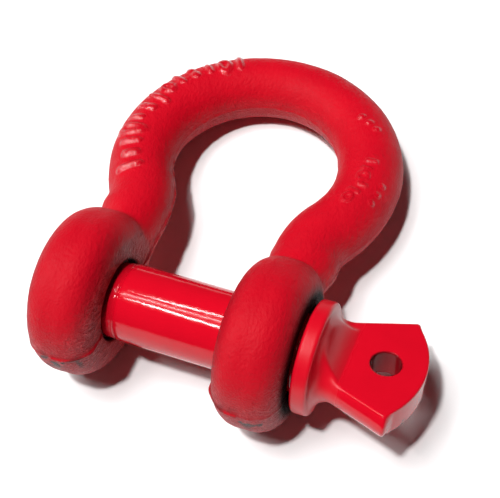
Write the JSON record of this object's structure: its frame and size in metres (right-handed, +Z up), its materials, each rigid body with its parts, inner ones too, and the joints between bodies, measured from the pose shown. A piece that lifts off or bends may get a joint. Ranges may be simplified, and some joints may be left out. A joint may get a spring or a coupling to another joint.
{
  "type": "screw pin bow shackle",
  "caption": "Forged bow shackle, painted red all over, with a round bow, two eared limbs and a screw pin with a collar and a flat eye tab.",
  "frame": {"origin": "on the pin's axis, halfway between the ears", "axes": "+X along the pin towards its head, +Y away from the pin towards the bow, +Z up from the level surface the shackle lies on"},
  "size_m": [0.1135, 0.1264, 0.047],
  "materials": {
    "body_paint": "satin red coating over rough forged steel",
    "pin_paint": "glossy red paint over machined steel",
    "thread_steel": "thin red paint worn to dark steel at the crests"
  },
  "bodies": {
    "bow": {"bow_body": "body_paint"},
    "pin_travel_body": {"pin_shank": "pin_paint"},
    "pin_screw_body": {"pin_head": "pin_paint", "pin_thread": "thread_steel"}
  },
  "joints": [
    {"name": "pin_travel", "type": "slide", "parent": "bow", "child": "pin_travel_body", "axis": [1, 0, 0], "range_m": [0, 0.08]},
    {"name": "pin_turn", "type": "hinge", "parent": "pin_travel_body", "child": "pin_screw_body", "pos_m": [0, 0, 0], "axis": [1, 0, 0], "range_deg": [0, 11520]}
  ],
  "couplings": [
    {"joint": "pin_turn", "follows": "pin_travel", "rad_per_m": 2513.3}
  ]
}
